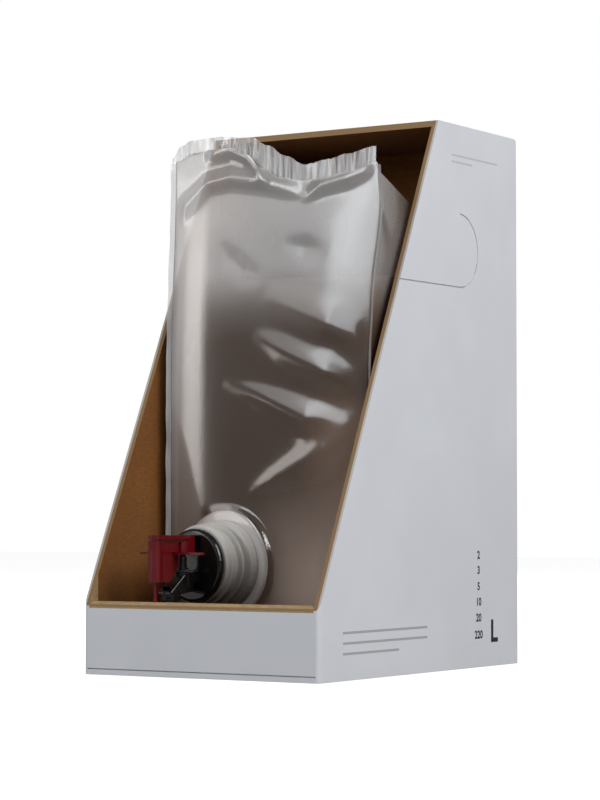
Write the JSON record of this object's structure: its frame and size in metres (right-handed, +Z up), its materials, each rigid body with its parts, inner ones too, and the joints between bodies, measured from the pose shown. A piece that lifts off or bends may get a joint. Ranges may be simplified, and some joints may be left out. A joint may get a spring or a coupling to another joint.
{
  "type": "bag-in-box wine",
  "caption": "Open-fronted corrugated carton holding a clear film bag of wine with a welded gland and a lever tap over the low front wall",
  "frame": {"origin": "middle of the carton's base, the bottom centre of the bounding box", "axes": "+Z up, -Y towards the open front and the tap, +X to the right as seen from the front"},
  "size_m": [0.138, 0.2, 0.28],
  "materials": {
    "board": "white printed outside, bare kraft inside and at cut edges",
    "film": "clear glossy film",
    "wine": "clear liquid seen against kraft board",
    "gland": "milky moulded plastic",
    "tap_black": "glossy moulded plastic",
    "lever_red": "glossy moulded plastic",
    "elastic": "soft elastomer"
  },
  "bodies": {
    "pack": {"carton": "board", "bag_film": "film", "wine": "wine", "gland": "gland", "tap_body": "tap_black", "neck_seal": "elastic", "lever_pin": "tap_black", "diaphragm": "elastic"},
    "lever": {"lever": "lever_red", "tamper_pin": "lever_red"},
    "stem": {"valve_stem": "tap_black", "valve_seal": "elastic"}
  },
  "joints": [
    {"name": "stem_lift", "type": "slide", "parent": "pack", "child": "stem", "axis": [0, 0, 1], "range_m": [0, 0.00213], "stiffness_N_per_m": 10},
    {"name": "lever_lift", "type": "hinge", "parent": "pack", "child": "lever", "pos_m": [-0.02598, -0.07105, 0.0642], "axis": [-0.9945, 0.1045, 0], "range_deg": [0, 26]}
  ],
  "couplings": [
    {"joint": "lever_lift", "follows": "stem_lift", "rad_per_m": 212.77}
  ]
}
